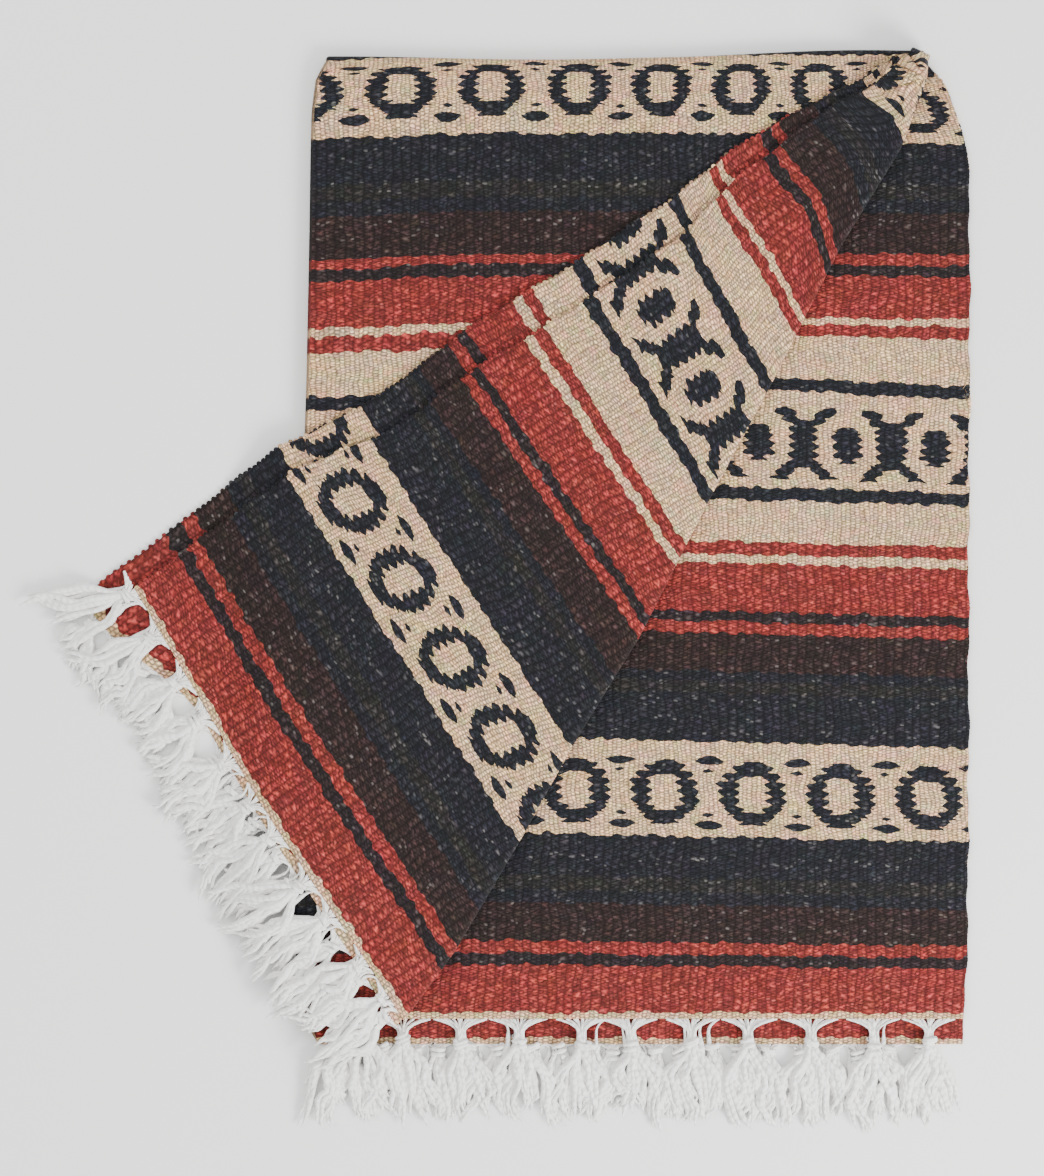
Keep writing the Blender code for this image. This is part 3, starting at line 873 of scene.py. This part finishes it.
def float_tone_and_painted_shade(tree, colour, fine, fine_chance, thick, thick_chance):
    """Painted light and shade of the floats: each is lighter on its top and darker in the grooves
    at its sides, more or less so at random. Dark yarn shows a few light ones, pale yarn all its
    finer ones.
    """
    light = 0.45
    # Dark yarn: painted shade in the grooves, and a painted highlight on each float's top, strong
    # on a few floats chosen at random
    for bump, chance, low, high in ((fine, fine_chance, 0.3, 1.9),
                                    (thick, thick_chance, 0.2, 2.3)):
        bright = put(tree, "Math", {0: chance, 1: 1.8}, operation="POWER")
        bright = put(tree, "MapRange", {0: bright, 3: low, 4: high})
        light = put(tree, "Math", {0: bright, 1: bump, 2: light}, operation="MULTIPLY_ADD")
    # Pale yarn: every finer float is painted lighter on its top and darker in the grooves round it
    even = put(tree, "MapRange", {0: fine_chance, 3: 0.9, 4: 1.8})
    even = put(tree, "Math", {0: even, 1: fine, 2: 0.34}, operation="MULTIPLY_ADD")
    pale = put(tree, "SeparateColor", {0: colour}, out=1)
    pale = put(tree, "MapRange", {0: pale, 1: 0.05, 2: 0.3, 3: 0.0, 4: 0.85})
    return put(tree, "Mix", {0: pale, 2: light, 3: even})


def uneven_dye(tree, colour, drawn, u, cell, pick):
    """Varies a colour: one pick of weft keeps its tint for about 40 mm, and a float has its own.

    Each channel is multiplied by up to the tint's amount more or less than 1.
    """
    cell_tint = put(tree, "TexWhiteNoise", {"Vector": cell}, out=1, noise_dimensions="2D")
    stretch = put(tree, "CombineXYZ", {0: u, 1: pick})
    stretch = put(tree, "VectorMath", {0: stretch, 1: (0.025, 0.73, 1.0)}, operation="MULTIPLY")
    pick_tint = put(tree, "TexNoise", {"Vector": stretch, "Scale": 1.0, "Detail": 2.0,
                                       "Roughness": 0.7}, out=1, noise_dimensions="2D")
    patch_tint = put(tree, "TexNoise", {"Vector": drawn, "Scale": 0.03, "Detail": 3.0}, out=1,
                     noise_dimensions="2D")
    for tint, amount in ((cell_tint, 0.07), (pick_tint, 0.17), (patch_tint, 0.14)):
        change = put(tree, "VectorMath", {0: tint, 1: (2 * amount,) * 3, 2: (1 - amount,) * 3},
                     operation="MULTIPLY_ADD")
        colour = put(tree, "VectorMath", {0: colour, 1: change}, operation="MULTIPLY")
    return colour


def specked(tree, colour, light, v, floats):
    """Multiplies a colour by the painted light and shade of its floats and by its fibre streaks,
    then puts specks of pale stray fibre on single floats.

    There are more of them in some picks, and few in the red.
    """
    more = put(tree, "TexNoise", {"W": v, "Scale": 0.09, "Detail": 2.0}, noise_dimensions="1D")
    dyed = put(tree, "SeparateColor", {0: colour}, out=0)
    dyed = put(tree, "MapRange", {0: dyed, 1: 0.03, 2: 0.12, 3: 1.0, 4: 0.3})
    # The colour takes the floats' painted light and shade and the fibre streaks here
    colour = put(tree, "VectorMath", {0: colour, 3: light}, operation="SCALE")
    for bump, chance, most in floats:
        speck = put(tree, "Math", {0: more, 1: 0.2, 2: chance}, operation="MULTIPLY_ADD")
        speck = put(tree, "MapRange", {0: speck, 1: 1.05, 2: 1.14, 3: 0.0, 4: most})
        speck = put(tree, "Math", {0: speck, 1: bump}, operation="MULTIPLY")
        speck = put(tree, "Math", {0: speck, 1: dyed}, operation="MULTIPLY")
        colour = put(tree, "Mix", {0: speck, 6: colour, 7: FLECK}, out=2, data_type="RGBA")
    return colour


def striped_cloth():
    """Falsa cloth: a coarse weft-faced plain weave of reclaimed acrylic and cotton yarn.

    That gives the eye matt ribs 8.3 mm apart, each a row of short rounded floats, colours that
    wander from float to float, and pale specks in the dark yarn. The floats' relief is also
    painted into the colour, as shade in the grooves between them and highlight on their tops.
    All of it follows the weave map, which holds metres across and along the cloth.
    """
    made, tree = bare_material("woven_acrylic_falsa")
    drawn = drawn_map(tree)
    u = put(tree, "SeparateXYZ", {0: drawn}, out=0)
    v = put(tree, "SeparateXYZ", {0: drawn}, out=1)

    # Thick raised floats, and between them finer ones of half their size
    fine, fine_chance, _, _ = float_bumps(tree, u, v, 0.5, 1.0)
    thick, thick_chance, cell, pick = float_bumps(tree, u, v, 1.0, 4.0)
    colour = dyed_yarn(tree, u, v, thick_chance)
    # Painted light and shade: floats lighter on their tops and darker in the grooves between them
    light = float_tone_and_painted_shade(tree, colour, fine, fine_chance, thick, thick_chance)
    colour = uneven_dye(tree, colour, drawn, u, cell, pick)

    # Fibres lie along the weft, in streaks about 4 mm long and 1.5 mm high
    streak = put(tree, "VectorMath", {0: drawn, 1: (0.25, 0.7, 1.0)}, operation="MULTIPLY")
    fibre = put(tree, "TexNoise", {"Vector": streak, "Scale": 1.0, "Detail": 2.0},
                noise_dimensions="2D")
    fibre_light = put(tree, "MapRange", {0: fibre, 1: 0.3, 2: 0.7, 3: 0.65, 4: 1.35})
    light = put(tree, "Math", {0: light, 1: fibre_light}, operation="MULTIPLY")
    colour = specked(tree, colour, light, v,
                     ((fine, fine_chance, 0.42), (thick, thick_chance, 0.22)))

    height = put(tree, "Math", {0: fine, 1: 0.5, 2: thick}, operation="MULTIPLY_ADD")
    height = put(tree, "Math", {0: fibre, 1: 0.6, 2: height}, operation="MULTIPLY_ADD")
    bump = put(tree, "Bump", {"Height": height, "Strength": 0.8, "Distance": 0.001})
    shader = put(tree, "BsdfPrincipled", {
        "Base Color": colour, "Roughness": 0.92, "Normal": bump,
        "Sheen Weight": 0.05, "Sheen Roughness": 0.6, "Specular IOR Level": 0.14,
    })
    put(tree, "OutputMaterial", {0: shader})
    return made


def fringe_yarn():
    """Off-white cotton warp yarn, loosely twisted and brushed: matt, soft and fluffy.

    The twist shows as slanting grooves 7 mm apart, with a little shade painted along them, and
    each yarn has its own greyness.
    """
    made, tree = bare_material("loose_cotton_warp")
    weave = put(tree, "UVMap", {}, uv_map="weave")
    place = put(tree, "VectorMath", {0: weave, 3: 1000.0}, operation="SCALE")
    u = put(tree, "SeparateXYZ", {0: place}, out=0)
    v = put(tree, "SeparateXYZ", {0: place}, out=1)
    number = put(tree, "Math", {0: u, 1: 100.0}, operation="DIVIDE")
    number = put(tree, "Math", {0: number}, operation="FLOOR")
    own = put(tree, "TexWhiteNoise", {"W": number}, noise_dimensions="1D")
    slant = put(tree, "Math", {0: u, 1: 0.35, 2: v}, operation="MULTIPLY_ADD")
    slant = put(tree, "Math", {0: slant, 1: 0.9}, operation="MULTIPLY")
    twist = put(tree, "Math", {0: slant}, operation="SINE")
    where = put(tree, "TexCoord", {}, out=3)
    fibre = put(tree, "TexNoise", {"Vector": where, "Scale": 420.0, "Detail": 4.0})
    shade = 1.0
    # Each yarn's own greyness, painted shade in the twist grooves, and random fibre tone
    for source, low, high, darkest, lightest in ((own, 0.0, 1.0, 0.92, 1.04),
                                                 (twist, -1.0, 1.0, 0.96, 1.0),
                                                 (fibre, 0.3, 0.7, 0.93, 1.03)):
        part = put(tree, "MapRange", {0: source, 1: low, 2: high, 3: darkest, 4: lightest})
        shade = put(tree, "Math", {0: shade, 1: part}, operation="MULTIPLY")
    colour = put(tree, "VectorMath", {0: linear("#F7F6F3")[:3], 3: shade}, operation="SCALE")
    height = put(tree, "Math", {0: fibre, 1: 1.6, 2: twist}, operation="MULTIPLY_ADD")
    bump = put(tree, "Bump", {"Height": height, "Strength": 0.6, "Distance": 0.0006})
    shader = put(tree, "BsdfPrincipled", {
        "Base Color": colour, "Roughness": 0.95, "Normal": bump,
        "Sheen Weight": 0.3, "Sheen Roughness": 0.5, "Specular IOR Level": 0.15,
    })
    put(tree, "OutputMaterial", {0: shader})
    return made


def pale_floor():
    """A matt white paper floor, as of a studio table."""
    half = 4000.0
    signs = np.array([(-1.0, -1.0, 0.0), (1.0, -1.0, 0.0), (1.0, 1.0, 0.0), (-1.0, 1.0, 0.0)])
    made = mesh_object("studio_floor", half * signs, np.array([(0, 1, 2, 3)]), smoothed=False)
    paint = bpy.data.materials.new("matt_white_paper")
    paint.use_nodes = True
    shader = paint.node_tree.nodes["Principled BSDF"]
    shader.inputs["Base Color"].default_value = linear("#F8F8F7")
    shader.inputs["Roughness"].default_value = 1.0
    shader.inputs["Specular IOR Level"].default_value = 0.0
    made.data.materials.append(paint)


def lamp(name, place, size, power):
    """A square soft light over the part, in metres and watts, turned to the floor's middle."""
    data = bpy.data.lights.new(name, "AREA")
    data.size = size
    data.energy = power
    made = bpy.data.objects.new(name, data)
    bpy.context.scene.collection.objects.link(made)
    made.location = place
    made.rotation_euler = made.location.to_track_quat("Z", "Y").to_euler()


def studio():
    """Camera straight above, as in the photo, a low broad key from the lower right and fill."""
    data = bpy.data.cameras.new("camera")
    data.lens = 85.0
    data.sensor_width = 36.0
    made = bpy.data.objects.new("camera", data)
    bpy.context.scene.collection.objects.link(made)
    made.location = (-0.1112, -0.0505, 2.696)
    bpy.context.scene.camera = made
    lamp("key", (1.9, -1.8, 1.5), 1.2, 150.0)
    lamp("fill", (-1.2, 1.3, 2.4), 2.4, 42.0)
    world = bpy.data.worlds.new("studio_air")
    world.use_nodes = True
    back = world.node_tree.nodes["Background"]
    back.inputs["Color"].default_value = (1.0, 1.0, 1.0, 1.0)
    back.inputs["Strength"].default_value = 1.2
    bpy.context.scene.world = world


def flap_hem(is_under):
    """Plan of a hem of the flap, from its free corner to the slanting fold."""
    across = np.linspace(1.03, 0.02, 24)
    first = np.full(24, -UNDER_STEP if is_under else 0.0)
    return stacked(*laid_point(first, across, is_under))


def selvedges(material):
    """Weft turns along the free edges: the lower leaf's right one and both of the flap's."""
    y = np.arange(HEM_Y + 2.0, 452.0, FLOAT_PITCH)
    edge = right_edge(y)
    right = stacked(edge, y, UPPER_LAYER + dents(edge, y), y - HEM_Y)[::-1]
    made = [weft_turns("right_weft_turns", material, right, RIGHT_START)]
    made.append(stray_fibres("right_stray_fibres", material, right, RIGHT_START, 900, 21))
    weft = np.arange(2.0, 915.0, FLOAT_PITCH)
    for name, is_under, level in (("flap_weft_turns", False, UPPER_LAYER),
                                  ("flap_lining_weft_turns", True, LOWER_LAYER)):
        across = flap_reach(weft, level, is_under) / flap_width(weft)
        x, y = laid_point(weft, across, is_under)
        z = rest_height(x, y) + level + gathered(x, y) + dents(x, y) * (0.4 if is_under else 1.0)
        edge = stacked(x, y, z, woven_row(weft, is_under))[::-1]
        made.append(weft_turns(name, material, edge, 30.0))
    return made


studio()
pale_floor()
cloth = striped_cloth()
yarn = fringe_yarn()

lower = lower_cloth(cloth)
upper = upper_cloth(cloth)
flap_over = flap_sheet("flap_cloth", cloth, False, UPPER_LAYER, 16.0, 84, 37.5)
flap_under = flap_sheet("flap_lining_layer", cloth, True, LOWER_LAYER, 2.0, 88, 31.0)
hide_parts("lower_leaf")
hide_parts("upper_leaf")
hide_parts("flap")
edges = selvedges(cloth)

# Fringes: hem, reach and lean at even places along it, distance of the knots, height of what
# they lie on, seed and number of bundles
fringe_under = fringe_row(
    "fringe_under_yarns", yarn, [(-292.0, UNDER_HEM_Y), (288.0, UNDER_HEM_Y)], (76.0, 84.0),
    (0.0, 0.0), 6.0, lambda x, y: 0.3 + 0.0 * x, 11, 20)
fringe_lower = fringe_row(
    "fringe_lower_yarns", yarn, [(-316.0, HEM_Y), (312.0, HEM_Y)], (104.0, 108.0, 104.0),
    (0.0, 0.0), 23.0, lambda x, y: 3.6 - 1.6 * smooth((-500.0 - y) / 60.0), 12, 11,
    loose=0.04)
fringe_upper = fringe_row(
    "fringe_upper_yarns", yarn, [(-314.0, HEM_Y), (-232.0, HEM_Y)], (96.0, 96.0),
    (-0.1, 0.0), 16.0, lambda x, y: 7.0 - 4.0 * smooth((-490.0 - y) / 60.0), 13, 2)
fringe_flap_under = fringe_row(
    "fringe_flap_under_yarns", yarn, flap_hem(True),
    (54.0, 62.0, 80.0, 80.0, 86.0, 90.0), (0.3, 0.2, 0.0, 0.0, 0.0, 0.0), 9.0,
    lambda x, y: rest_height(x, y) + 0.4, 14, 14)
fringe_flap = fringe_row(
    "fringe_flap_yarns", yarn, flap_hem(False),
    (106.0, 90.0, 96.0, 100.0, 106.0, 108.0), (-0.12, 0.1, 0.1, 0.0, 0.0, 0.0), 12.0,
    lambda x, y: rest_height(x, y) + 3.4, 15, 11)
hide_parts("fringe_under")
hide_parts("fringe_lower")
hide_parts("fringe_upper")
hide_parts("fringe_flap_under")
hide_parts("fringe_flap")
